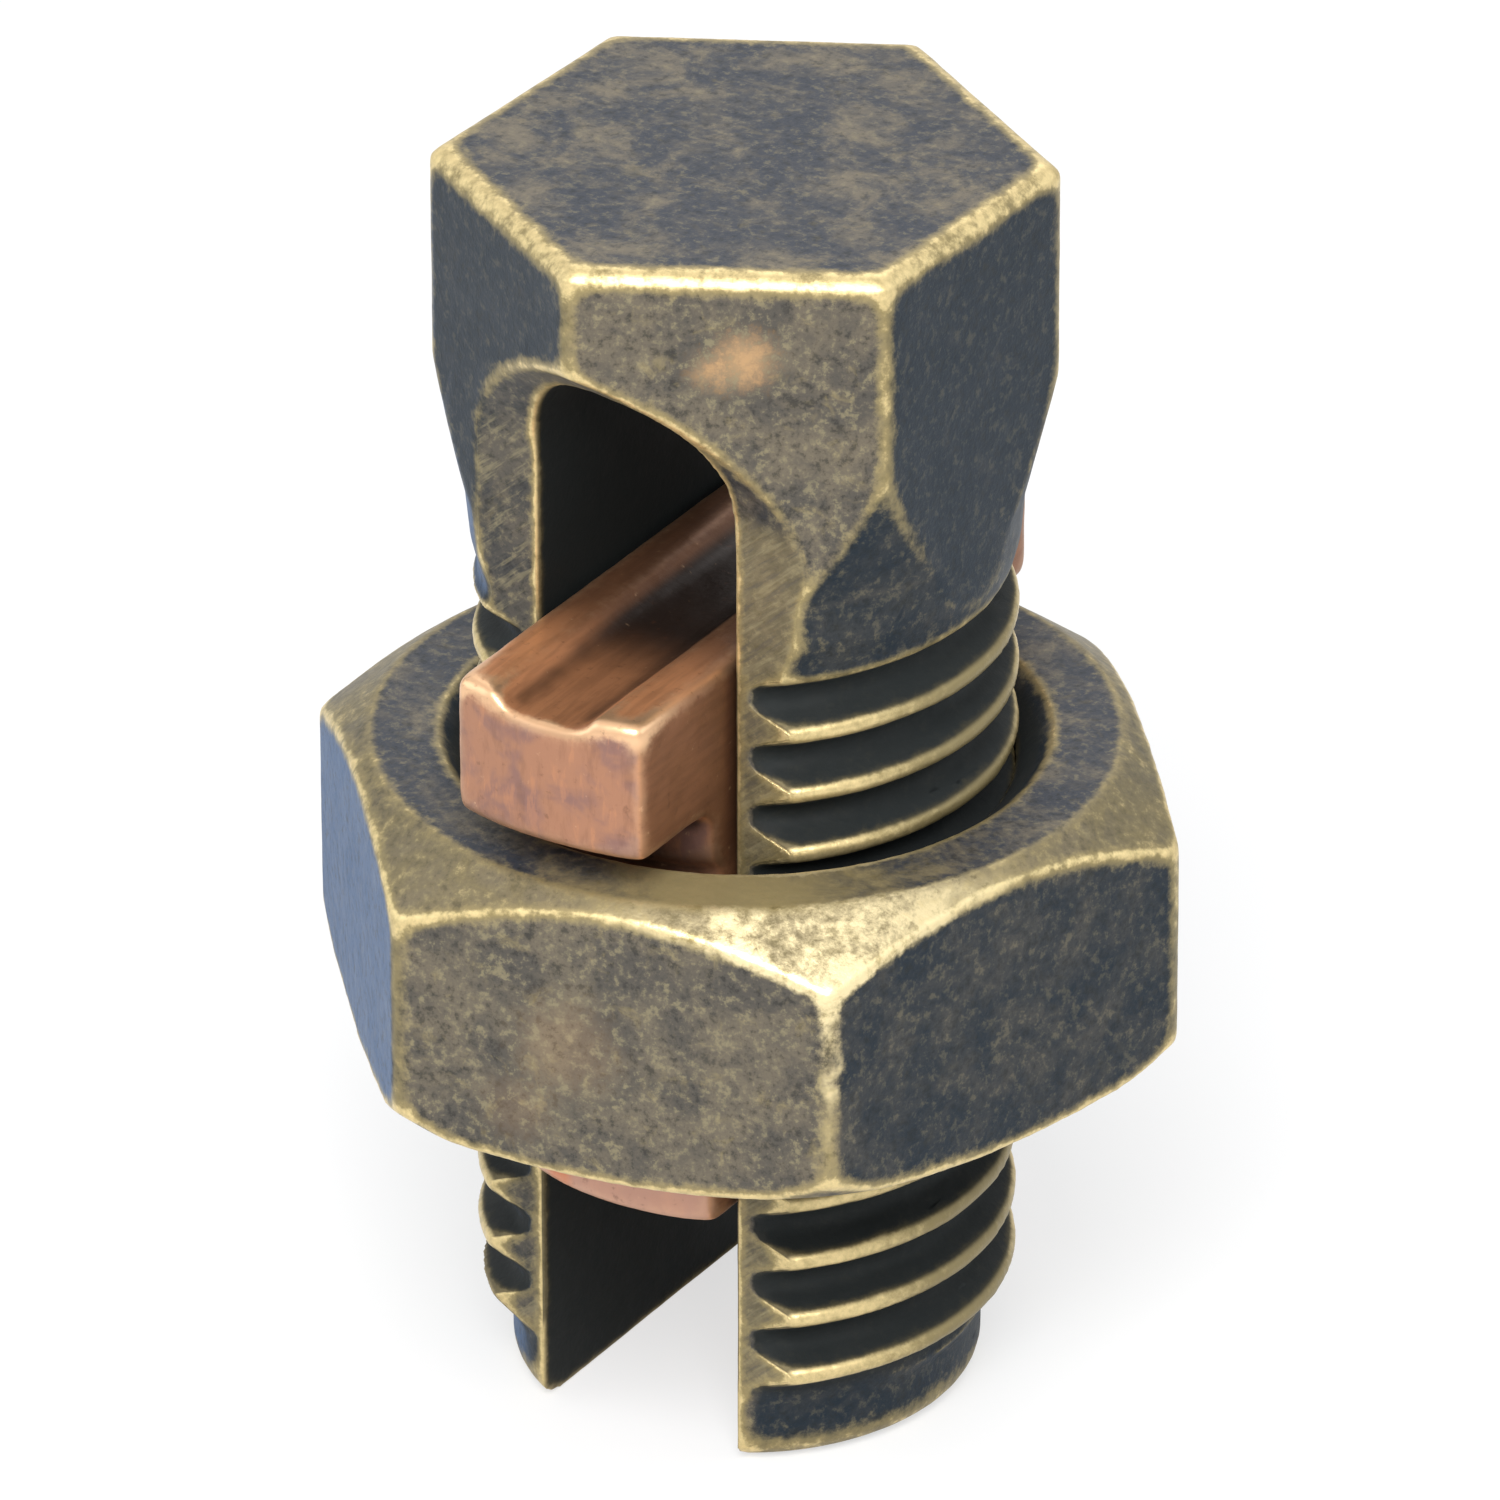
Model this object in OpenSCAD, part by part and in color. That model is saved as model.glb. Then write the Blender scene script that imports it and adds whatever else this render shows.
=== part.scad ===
// Split bolt cable connector: a slotted hex-head bolt, a hex nut and a pressure bar.
// Millimetres. The bolt stands on the ends of its two legs, its axis on Z, its slot along Y.

/* [Bolt head] */
// overall height of the bolt, from the leg ends to the top of the head
bolt_height = 40.8; // [30:0.1:60]
// head size across the flats
head_af = 16.4; // [12:0.1:24]
// height at which the cone under the head leaves the hexagon's corners
cone_top = 34.3; // [30:0.1:38]
// height at which the cone turns into the slimmer part of the neck
cone_foot = 29.9; // [28:0.1:32]
// radius of the neck at that height
cone_foot_r = 8.4; // [7:0.05:10]
// bevel round the top edge of the head
head_bevel = 0.7; // [0.2:0.05:1.5]
// turn of the head about the axis, measured from a corner facing the slot mouth
head_turn = -1; // [-30:0.5:30]

/* [Shank and legs] */
// radius of the smooth neck above the thread
neck_r = 8.05; // [6:0.05:9]
// radius of the plain leg ends
pilot_r = 7.2; // [5:0.05:8]
// height of the plain leg ends
pilot_len = 2.2; // [1:0.1:5]
// rounding of the leg ends
pilot_round = 0.9; // [0.2:0.1:2]

/* [Slot] */
// width of the slot between the legs
slot_w = 6.8; // [4:0.1:10]
// height of the centre of the slot's round top
arch_z = 32.9; // [28:0.1:35]
// distance of each mouth flat from the bolt's axis
mouth_flat = 6.15; // [5:0.05:8]
// height at which a mouth flat starts to run out under the head
runout_z = 31.5; // [26:0.1:36]
// radius of the cutter mark that ends a mouth flat
runout_r = 6.6; // [3:0.1:12]
// lean of that cutter mark
runout_lean = 7; // [-15:1:15]

/* [Thread] */
// outside radius of the threaded part of the legs
thread_r = 8.25; // [6:0.05:10]
// height at which the thread runs out into the neck
thread_top = 27.2; // [20:0.1:30]
// room all round between the legs and the nut's bore
thread_play = 0.1; // [0.05:0.01:0.3]

/* [Nut] */
// nut size across the flats
nut_af = 24; // [16:0.1:36]
// height of the nut's lower face
nut_z = 11.9; // [5:0.1:20]
// thickness of the nut
nut_h = 9.7; // [5:0.1:15]
// radius of the round top face that the upper chamfer leaves
nut_top_r = 11.4; // [9:0.1:13]
// radius of the round lower face
nut_low_r = 11.75; // [9:0.1:13]
// height of the upper chamfer at the corners
nut_top_chamfer = 1.85; // [0.5:0.05:3]
// height of the lower chamfer at the corners
nut_low_chamfer = 1.45; // [0.5:0.05:3]
// radius of the countersink at both ends of the bore
nut_sink_r = 9.2; // [8:0.05:11]
// turn of the nut about the axis, measured from a corner on the +X side
nut_turn = -47.6; // [-60:0.1:60]

/* [Pressure bar] */
// width of the bar, a sliding fit in the slot
bar_w = 6.6; // [4:0.1:10]
// radius of the rounded ends of the ears
ear_r = 11.5; // [9:0.1:14]
// height of the top of the ridges
ridge_z = 27.45; // [22:0.05:34]
// height of the underside of the ears
ear_z = 22.75; // [18:0.05:28]
// width of the groove along the top
groove_w = 3.1; // [1:0.1:6]
// depth of that groove
groove_d = 0.55; // [0.1:0.05:2]
// radius of the tail's ends between the ears and the nut
shoulder_r = 7.7; // [6:0.05:8.5]
// depth below the nut's top face at which the tail widens to that radius
shoulder_drop = 0.5; // [0.2:0.1:2]
// radius of the tail's ends inside the nut
tail_r = 7.15; // [5:0.05:8]
// radius of the foot's ends below the nut
foot_r = 7.95; // [6:0.05:8.2]
// height of the lower edge of the foot
foot_z = 8.9; // [4:0.1:12]
// gap between the foot's shoulder and the nut's lower countersink
foot_gap = 0.3; // [0.1:0.05:1]
// rounding of the ears' lower corners
ear_round = 0.9; // [0.2:0.1:2]

/* [Hidden] */
$fn = 96;
head_corner_r = head_af / 2 / cos(30);
nut_corner_r = nut_af / 2 / cos(30);
slot_r = slot_w / 2;
bar_half = bar_w / 2;
nut_top = nut_z + nut_h;
nut_bore_r = thread_r + thread_play;
sink_depth = nut_sink_r - nut_bore_r;
foot_top = nut_z + nut_sink_r - foot_r - foot_gap;
bronze = [0.42, 0.39, 0.34];
bronze_nut = [0.46, 0.43, 0.37];
copper = [0.78, 0.56, 0.42];

// ---- split bolt ----

// rounded leg ends, threaded part and neck, all turned about the axis
module bolt_shank() {
    rotate_extrude() polygon([
        [0, 0],
        [pilot_r - pilot_round, 0],
        [pilot_r - pilot_round * 0.5, pilot_round * 0.134],
        [pilot_r - pilot_round * 0.134, pilot_round * 0.5],
        [pilot_r, pilot_round],
        [pilot_r, pilot_len],
        [thread_r, pilot_len + thread_r - pilot_r],
        [thread_r, thread_top - (thread_r - neck_r) * 2],
        [neck_r, thread_top],
        [neck_r, thread_top + 0.9],
        [0, thread_top + 0.9]]);
}

// hexagonal head with its cone underneath
module bolt_head() {
    intersection() {
        translate([0, 0, thread_top + 0.4]) rotate([0, 0, head_turn - 90])
            cylinder(h = bolt_height - thread_top - 0.4 - head_bevel, r = head_corner_r, $fn = 6);
        rotate_extrude() polygon([
            [0, thread_top + 0.4],
            [neck_r, thread_top + 0.4],
            [cone_foot_r - 0.12, cone_foot - 1.4],
            [cone_foot_r, cone_foot],
            [head_corner_r, cone_top],
            [head_corner_r + 1, bolt_height],
            [0, bolt_height]]);
    }
    // bevelled top edge
    translate([0, 0, bolt_height - head_bevel]) rotate([0, 0, head_turn - 90])
        cylinder(h = head_bevel, r1 = head_corner_r, r2 = head_corner_r - head_bevel / cos(30), $fn = 6);
}

// flat at one mouth of the slot, run out under the head by a round cutter
module mouth_relief() {
    translate([0, -mouth_flat, runout_z]) rotate([0, runout_lean, 0]) {
        translate([-15, -15, -40]) cube([30, 15, 40]);
        translate([-15, -runout_r, 0]) rotate([0, 90, 0]) cylinder(h = 30, r = runout_r);
    }
}

module split_bolt() {
    color(bronze)
    difference() {
        union() {
            bolt_shank();
            bolt_head();
        }
        // slot between the legs, with a round top
        translate([-slot_r, -20, -1]) cube([slot_w, 40, arch_z + 1]);
        translate([0, 20, arch_z]) rotate([90, 0, 0]) cylinder(h = 40, r = slot_r);
        mouth_relief();
        rotate([0, 0, 180]) mouth_relief();
    }
}

// ---- hex nut ----

module hex_nut() {
    color(bronze_nut)
    difference() {
        intersection() {
            translate([0, 0, nut_z]) rotate([0, 0, nut_turn])
                cylinder(h = nut_h, r = nut_corner_r, $fn = 6);
            rotate_extrude() polygon([
                [0, nut_z],
                [nut_low_r, nut_z],
                [nut_low_r + (nut_corner_r - nut_low_r) * 0.62, nut_z + nut_low_chamfer * 0.42],
                [nut_corner_r, nut_z + nut_low_chamfer],
                [nut_corner_r, nut_top - nut_top_chamfer],
                [nut_top_r, nut_top],
                [0, nut_top]]);
        }
        translate([0, 0, nut_z - 1]) cylinder(h = nut_h + 2, r = nut_bore_r);
        translate([0, 0, nut_top - sink_depth])
            cylinder(h = sink_depth + 0.5, r1 = nut_bore_r, r2 = nut_sink_r + 0.5);
        translate([0, 0, nut_z - 0.5])
            cylinder(h = sink_depth + 0.5, r1 = nut_sink_r + 0.5, r2 = nut_bore_r);
    }
}
// ---- pressure bar ----

// ear block, with its groove and rounded lower corners, seen along the slot
module bar_section() {
    g = groove_w / 2;
    polygon([
        [-bar_half, ridge_z - 0.2], [-bar_half + 0.2, ridge_z],
        [-g - 0.3, ridge_z], [-g + 0.15, ridge_z - groove_d + 0.12], [-g + 0.45, ridge_z - groove_d],
        [g - 0.45, ridge_z - groove_d], [g - 0.15, ridge_z - groove_d + 0.12], [g + 0.1, ridge_z],
        [bar_half - 0.2, ridge_z], [bar_half, ridge_z - 0.2],
        [bar_half, ear_z + ear_round], [bar_half - ear_round * 0.3, ear_z + ear_round * 0.3],
        [bar_half - ear_round, ear_z],
        [-bar_half + ear_round, ear_z], [-bar_half + ear_round * 0.3, ear_z + ear_round * 0.3],
        [-bar_half, ear_z + ear_round]]);
}

module pressure_bar() {
    color(copper)
    intersection() {
        union() {
            // ears
            translate([0, 20, 0]) rotate([90, 0, 0]) linear_extrude(height = 40) bar_section();
            // tail and foot
            translate([-bar_half, -20, foot_z]) cube([bar_w, 40, ear_z + 1.5 - foot_z]);
        }
        // rounded ends, turned about the axis
        rotate_extrude() polygon([
            [0, foot_z],
            [foot_r - 0.35, foot_z],
            [foot_r, foot_z + 0.35],
            [foot_r, foot_top],
            [tail_r, foot_top + foot_r - tail_r],
            [tail_r, nut_top - shoulder_drop - shoulder_r + tail_r],
            [shoulder_r, nut_top - shoulder_drop],
            [shoulder_r, ear_z - 0.35],
            [shoulder_r + 0.35, ear_z],
            [ear_r - 0.25, ear_z],
            [ear_r, ear_z + 0.35],
            [ear_r, ridge_z - 0.2],
            [ear_r - 0.2, ridge_z],
            [0, ridge_z]]);
    }
}

split_bolt();
hex_nut();
pressure_bar();
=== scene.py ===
"""Split bolt cable connector: slotted bolt, hex nut and pressure bar, dressed for rendering.

Pieces are shaped in millimetres, from nearly the same sizes as the solid model, and turned to
metres when they are finished. The bolt stands on its leg ends, its axis on Z and its slot along Y.
"""
from __future__ import annotations

import logging
import math
from collections.abc import Sequence
from dataclasses import dataclass, field
from enum import Enum

import bmesh
import bpy
import numpy as np
from mathutils import Matrix, Vector, kdtree, noise

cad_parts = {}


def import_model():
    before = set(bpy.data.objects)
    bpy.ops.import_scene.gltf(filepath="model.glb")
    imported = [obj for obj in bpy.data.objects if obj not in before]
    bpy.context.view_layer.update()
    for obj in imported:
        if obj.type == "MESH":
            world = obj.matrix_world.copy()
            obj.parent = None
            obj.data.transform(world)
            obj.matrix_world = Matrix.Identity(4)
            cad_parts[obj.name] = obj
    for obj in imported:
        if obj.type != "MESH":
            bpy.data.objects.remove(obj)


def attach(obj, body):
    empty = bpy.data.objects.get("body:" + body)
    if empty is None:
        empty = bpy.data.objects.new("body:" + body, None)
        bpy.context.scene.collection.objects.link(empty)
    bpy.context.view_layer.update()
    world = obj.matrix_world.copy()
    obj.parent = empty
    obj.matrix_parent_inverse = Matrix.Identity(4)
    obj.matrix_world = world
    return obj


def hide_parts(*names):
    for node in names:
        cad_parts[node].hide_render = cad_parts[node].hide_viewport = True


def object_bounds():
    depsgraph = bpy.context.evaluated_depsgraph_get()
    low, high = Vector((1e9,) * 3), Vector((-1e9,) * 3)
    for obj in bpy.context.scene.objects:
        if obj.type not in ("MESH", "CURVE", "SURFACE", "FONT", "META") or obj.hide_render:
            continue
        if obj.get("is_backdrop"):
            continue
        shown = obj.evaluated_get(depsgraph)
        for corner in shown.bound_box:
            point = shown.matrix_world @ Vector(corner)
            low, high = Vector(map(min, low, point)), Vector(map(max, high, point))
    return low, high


log = logging.getLogger("split_bolt")

Colour = tuple[float, float, float]
Point = tuple[float, float, float]
Outline = Sequence[tuple[float, float]]

MM = 0.001
FULL_TURN = 2.0 * math.pi
QUARTER_TURN = math.pi / 2.0
FLAT_PER_CORNER = math.cos(math.pi / 6.0)  # a hexagon's flats over its corners
SAME_POINT = 1e-5  # points of a new shape that are closer than this are one
SAME_AREA = 1e-6  # a cut that changes the area by less than this did nothing
HELIX_STEPS = 72  # steps for each turn of a thread
TURN_STEPS = 180  # steps round a turned piece
ROD_SIDES = 128
PASS_THROUGH = 20.0  # half length of a cutter or blank that has to reach past the work

ACROSS = (1.0, 0.0, 0.0)
ALONG = (0.0, 1.0, 0.0)
UP = (0.0, 0.0, 1.0)
DOWN = (0.0, 0.0, -1.0)
WHITE = (1.0, 1.0, 1.0)


class Cut(Enum):
    """How two solids are put together."""

    JOIN = "UNION"
    REMOVE = "DIFFERENCE"
    KEEP = "INTERSECT"


def srgb(red: int, green: int, blue: int) -> Colour:
    """Turn a display colour into the linear values that a shader takes.

    Args:
        red: Red, 0 to 255.
        green: Green, 0 to 255.
        blue: Blue, 0 to 255.

    Returns:
        The three linear values.
    """
    levels = (level / 255.0 for level in (red, green, blue))
    return tuple(level / 12.92 if level <= 0.04045 else ((level + 0.055) / 1.055) ** 2.4
                 for level in levels)


def mesh_of(name: str, shape: bmesh.types.BMesh) -> bpy.types.Mesh:
    """Turn a shape into a mesh and free the shape."""
    mesh = bpy.data.meshes.new(name)
    shape.to_mesh(mesh)
    shape.free()
    return mesh


def stand(name: str, data: bpy.types.ID) -> bpy.types.Object:
    """Put a new object into the scene."""
    thing = bpy.data.objects.new(name, data)
    bpy.context.scene.collection.objects.link(thing)
    return thing


# ---- solids


class Workpiece:
    """A closed solid in millimetres that is joined, cut and finished like work on a bench."""

    def __init__(self, name: str, shape: bmesh.types.BMesh) -> None:
        """Take a shape over.

        Args:
            name: Name of the object to make.
            shape: The closed shape, which is freed.
        """
        bmesh.ops.remove_doubles(shape, verts=shape.verts, dist=SAME_POINT)
        bmesh.ops.recalc_face_normals(shape, faces=shape.faces)
        self.thing = stand(name, mesh_of(name, shape))

    @classmethod
    def turned(cls, name: str, outline: Outline) -> Workpiece:
        """Turn an outline of radius and height about Z.

        Args:
            name: Name of the piece.
            outline: Radius and height of each point, from axis to axis.

        Returns:
            The turned solid.
        """
        shape = bmesh.new()
        points = [shape.verts.new((radius, 0.0, height)) for radius, height in outline]
        ring = [shape.edges.new(pair) for pair in zip(points, points[1:])]
        bmesh.ops.spin(shape, geom=points + ring, axis=(0, 0, 1), cent=(0, 0, 0),
                       angle=FULL_TURN, steps=TURN_STEPS, use_merge=True)
        return cls(name, shape)

    @classmethod
    def prism(cls, name: str, across: float, low: float, high: float, turn: float,
              corner: float = 0.0, shrink: float = 0.0) -> Workpiece:
        """Make an upright hexagonal bar.

        Args:
            name: Name of the piece.
            across: Size across the flats.
            low: Height of the lower end.
            high: Height of the upper end.
            turn: Angle of one corner from +X, in degrees.
            corner: Width by which the upright corners are rounded off.
            shrink: Radius by which the upper end's corners are smaller.

        Returns:
            The hexagonal solid.
        """
        shape = bmesh.new()
        radius = across / 2.0 / FLAT_PER_CORNER
        bmesh.ops.create_cone(shape, cap_ends=True, segments=6, radius1=radius,
                              radius2=radius - shrink, depth=high - low)
        first = min(shape.verts, key=lambda v: (v.co.z, -v.co.x, abs(v.co.y)))
        start = math.degrees(math.atan2(first.co.y, first.co.x))
        bmesh.ops.rotate(shape, verts=shape.verts,
                         matrix=Matrix.Rotation(math.radians(turn - start), 3, "Z"))
        bmesh.ops.translate(shape, verts=shape.verts, vec=(0, 0, (low + high) / 2.0))
        if corner:
            half = (high - low) / 2.0
            upright = [e for e in shape.edges
                       if abs(e.verts[0].co.z - e.verts[1].co.z) > half]
            bmesh.ops.bevel(shape, geom=upright, offset=corner, segments=4, profile=0.5,
                            affect="EDGES", material=-1)
        return cls(name, shape)

    @classmethod
    def block(cls, name: str, low: Point, high: Point, place: Matrix | None = None) -> Workpiece:
        """Make a box between two corners.

        Args:
            name: Name of the piece.
            low: Lowest corner.
            high: Highest corner.
            place: Turn and place given to the box afterwards.

        Returns:
            The box.
        """
        shape = bmesh.new()
        bmesh.ops.create_cube(shape, size=1.0)
        bmesh.ops.scale(shape, verts=shape.verts, vec=[b - a for a, b in zip(low, high)])
        bmesh.ops.translate(shape, verts=shape.verts, vec=[(a + b) / 2 for a, b in zip(low, high)])
        bmesh.ops.transform(shape, matrix=place or Matrix(), verts=shape.verts)
        return cls(name, shape)

    @classmethod
    def rod(cls, name: str, radius: float, length: float, place: Matrix) -> Workpiece:
        """Make a round rod about Z, centred, and put it in place.

        Args:
            name: Name of the piece.
            radius: Radius of the rod.
            length: Length of the rod.
            place: Turn and place of the rod.

        Returns:
            The rod.
        """
        shape = bmesh.new()
        bmesh.ops.create_cone(shape, cap_ends=True, segments=ROD_SIDES, radius1=radius,
                              radius2=radius, depth=length)
        bmesh.ops.transform(shape, matrix=place, verts=shape.verts)
        return cls(name, shape)

    @classmethod
    def drawn(cls, name: str, section: Outline, half: float) -> Workpiece:
        """Draw a section of width and height out along Y, to both sides.

        Args:
            name: Name of the piece.
            section: Points of the section, as X and Z.
            half: Half of the length.

        Returns:
            The drawn solid.
        """
        shape = bmesh.new()
        face = shape.faces.new([shape.verts.new((x, -half, z)) for x, z in section])
        made = bmesh.ops.extrude_face_region(shape, geom=[face], use_keep_orig=True)
        moved = [part for part in made["geom"] if isinstance(part, bmesh.types.BMVert)]
        bmesh.ops.translate(shape, verts=moved, vec=(0, 2 * half, 0))
        return cls(name, shape)

    @classmethod
    def helix(cls, name: str, section: Outline, pitch: float, angle: float, height: float,
              turns: float, fade: float = 0.0, lift: float = 0.0) -> Workpiece:
        """Wind a section of radius and height about Z as a right-hand screw.

        Args:
            name: Name of the piece.
            section: Points of the section, as radius and height from its middle.
            pitch: Rise for each turn.
            angle: Angle at which it starts, in degrees from +X.
            height: Height at which it starts.
            turns: Number of full-depth turns.
            fade: Further turns over which the section leaves the work.
            lift: Radius by which it has moved outwards at the end of that.

        Returns:
            The wound solid.
        """
        shape = bmesh.new()
        spin = Matrix.Rotation(math.radians(angle), 3, "Z")
        ring = [shape.verts.new(spin @ Vector((r, 0.0, height + h))) for r, h in section]
        face = shape.faces.new(ring)
        steps = round(turns * HELIX_STEPS)
        rise = (0, 0, pitch / HELIX_STEPS)
        turn = Matrix.Rotation(FULL_TURN / HELIX_STEPS, 3, "Z")
        made = bmesh.ops.spin(shape, geom=ring + list(face.edges) + [face], axis=(0, 0, 1),
                              cent=(0, 0, 0), dvec=rise,
                              angle=FULL_TURN * steps / HELIX_STEPS, steps=steps)
        last = [part for part in made["geom_last"] if isinstance(part, bmesh.types.BMFace)]
        fade_steps = round(fade * HELIX_STEPS)
        for step in range(fade_steps):
            made = bmesh.ops.extrude_face_region(shape, geom=last)
            bmesh.ops.delete(shape, geom=[part for part in last if part.is_valid],
                             context="FACES_ONLY")
            last = [part for part in made["geom"] if isinstance(part, bmesh.types.BMFace)]
            moved = [part for part in made["geom"] if isinstance(part, bmesh.types.BMVert)]
            bmesh.ops.rotate(shape, verts=moved, cent=(0, 0, 0), matrix=turn)
            bmesh.ops.translate(shape, verts=moved, vec=rise)
            middle = sum((v.co for v in moved), Vector()) / len(moved)
            outwards = Vector((middle.x, middle.y, 0.0)).normalized()
            bmesh.ops.translate(shape, verts=moved,
                                vec=outwards * (2 * step * lift / fade_steps ** 2))
        return cls(name, shape)

    def _area(self) -> float:
        """Give the area of the surface."""
        return sum(face.area for face in self.thing.data.polygons)

    def _settle(self) -> None:
        """Apply the modifiers and drop them."""
        bpy.context.view_layer.update()
        seen = self.thing.evaluated_get(bpy.context.evaluated_depsgraph_get())
        mesh = bpy.data.meshes.new_from_object(seen)
        old = self.thing.data
        self.thing.modifiers.clear()
        self.thing.data = mesh
        bpy.data.meshes.remove(old)

    def combine(self, other: Workpiece, how: Cut) -> Workpiece:
        """Join another solid on, remove it or keep only what both share.

        Args:
            other: The other solid, which is used up.
            how: What to do with it.

        Returns:
            This piece.
        """
        step = self.thing.modifiers.new("combine", "BOOLEAN")
        step.operation = how.value
        step.solver = "MANIFOLD"
        step.object = other.thing
        before = self._area()
        self._settle()
        after = self._area()
        if not after or abs(after - before) < SAME_AREA:
            raise RuntimeError(f"{self.thing.name}: {how.name} {other.thing.name} did nothing")
        spare = other.thing.data
        bpy.data.objects.remove(other.thing)
        bpy.data.meshes.remove(spare)
        return self

    def join(self, other: Workpiece) -> Workpiece:
        """Join another solid on."""
        return self.combine(other, Cut.JOIN)

    def remove(self, other: Workpiece) -> Workpiece:
        """Cut another solid out."""
        return self.combine(other, Cut.REMOVE)

    def keep(self, other: Workpiece) -> Workpiece:
        """Keep only what lies inside another solid."""
        return self.combine(other, Cut.KEEP)

    def _thin(self, plain: np.ndarray, ratio: float) -> None:
        """Thin the mesh out to a share of its triangles, most of all where it is plain."""
        group = self.thing.vertex_groups.new(name="flat")
        levels = 4
        for level in range(1, levels + 1):
            inside = (plain > (level - 1) / levels) & (plain <= level / levels)
            chosen = np.nonzero(inside)[0]
            if len(chosen):
                group.add(chosen.tolist(), level / levels, "REPLACE")
        step = self.thing.modifiers.new("thin", "DECIMATE")
        step.ratio = ratio
        step.vertex_group = "flat"
        step.vertex_group_factor = 10.0
        self._settle()
        self.thing.vertex_groups.clear()

    def finish(self, skin: Skin) -> bpy.types.Object:
        """Round, wear and thin the solid, and turn it to metres.

        Args:
            skin: How the surface is treated.

        Returns:
            The finished object.
        """
        step = self.thing.modifiers.new("skin", "REMESH")
        step.mode = "VOXEL"
        step.voxel_size = skin.grain
        step.adaptivity = 0.0
        self._settle()
        cloud = Cloud(self.thing.data)
        cloud.soften(skin.soften)
        cloud.dent(skin)
        edge, hollow = cloud.relief(skin.reach)
        wide, _ = cloud.relief(skin.reach * 3)
        plain = (np.clip(1.0 - (edge + hollow) * 14.0, 0.0, 1.0)
                 * np.clip(1.0 - wide * 4.0, 0.0, 1.0))
        dense = len(self.thing.data.polygons) * 2
        if dense > skin.limit:
            self._thin(plain, skin.limit / dense)
        mesh = self.thing.data
        cloud.copy_to(mesh, {"edge": edge, "hollow": hollow})
        mesh.transform(Matrix.Scale(MM, 4))
        mesh.shade_smooth()
        log.info("%s: %d triangles of %d", self.thing.name,
                 sum(len(p.vertices) - 2 for p in mesh.polygons), dense)
        return self.thing


@dataclass(frozen=True)
class Skin:
    """How the surface of a piece is rounded and worn, in millimetres."""

    grain: float = 0.15
    soften: int = 3
    reach: int = 40
    limit: int = 185_000
    dent_depth: float = 0.035
    dent_size: float = 3.2
    chip_depth: float = 0.02
    chip_size: float = 0.7
    seed: float = 0.0


class Cloud:
    """The points of a dense mesh, held as arrays."""

    def __init__(self, mesh: bpy.types.Mesh) -> None:
        """Read a closed, evenly divided mesh."""
        self.mesh = mesh
        count = len(mesh.vertices)
        self.points = np.empty(count * 3)
        mesh.vertices.foreach_get("co", self.points)
        self.points = self.points.reshape(-1, 3)
        ends = np.empty(len(mesh.edges) * 2, dtype=np.int64)
        mesh.edges.foreach_get("vertices", ends)
        self.start, self.end = ends[0::2], ends[1::2]
        self.degree = (np.bincount(self.start, minlength=count)
                       + np.bincount(self.end, minlength=count)).astype(float)

    def _averaged(self, values: np.ndarray) -> np.ndarray:
        """Average each point's value with its neighbours'."""
        count = len(values)
        mixed = np.empty_like(values)
        for axis in range(values.shape[1]):
            total = (np.bincount(self.start, weights=values[self.end, axis], minlength=count)
                     + np.bincount(self.end, weights=values[self.start, axis], minlength=count))
            mixed[:, axis] = 0.5 * values[:, axis] + 0.5 * total / self.degree
        return mixed

    def _store(self) -> None:
        """Write the points back to the mesh."""
        self.mesh.vertices.foreach_set("co", self.points.ravel())
        self.mesh.update()

    def normals(self) -> np.ndarray:
        """Read the mesh's normals at its points."""
        out = np.empty(len(self.points) * 3)
        self.mesh.vertex_normals.foreach_get("vector", out)
        return out.reshape(-1, 3)

    def soften(self, passes: int) -> None:
        """Smooth the points a number of times."""
        for _ in range(passes):
            self.points = self._averaged(self.points)
        self._store()

    def dent(self, skin: Skin) -> None:
        """Sink the surface a little, unevenly, so that flats and edges aren't perfect."""
        shift = Vector((skin.seed, skin.seed * 0.7, -skin.seed))
        depth = np.empty(len(self.points))
        for row, (x, y, z) in enumerate(self.points):
            place = Vector((x, y, z))
            broad = noise.noise(place / skin.dent_size + shift)
            fine = noise.noise(place / skin.chip_size - shift)
            depth[row] = (skin.dent_depth * (0.5 + 0.5 * broad)
                          + skin.chip_depth * (0.5 + 0.5 * fine))
        self.points = self.points - self.normals() * depth[:, None]
        self._store()

    def relief(self, reach: int) -> tuple[np.ndarray, np.ndarray]:
        """Measure how far each point stands out of, or lies in, its surroundings.

        Args:
            reach: Number of smoothing passes, which sets how wide the surroundings are.

        Returns:
            How far each point stands out and how far it lies in, in millimetres.
        """
        smooth = self.points
        for _ in range(reach):
            smooth = self._averaged(smooth)
        out = ((self.points - smooth) * self.normals()).sum(axis=1)
        return np.clip(out, 0.0, None), np.clip(-out, 0.0, None)

    def copy_to(self, mesh: bpy.types.Mesh, layers: dict[str, np.ndarray]) -> None:
        """Store values on a thinned copy of the mesh, each point taking those nearest to it.

        Args:
            mesh: The thinned mesh.
            layers: Values for each point of the dense mesh, by attribute name.
        """
        tree = kdtree.KDTree(len(self.points))
        for row, point in enumerate(self.points):
            tree.insert(point, row)
        tree.balance()
        nearest = np.array([tree.find(v.co)[1] for v in mesh.vertices])
        for name, values in layers.items():
            layer = mesh.attributes.new(name, "FLOAT", "POINT")
            layer.data.foreach_set("value", values[nearest].astype(np.float32))


# ---- shader bench


@dataclass(frozen=True)
class Patch:
    """A round place on a piece, in millimetres, used for patches rubbed to another colour and for
    painted highlights.
    """

    centre: Point
    radius: float
    strength: float


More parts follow.
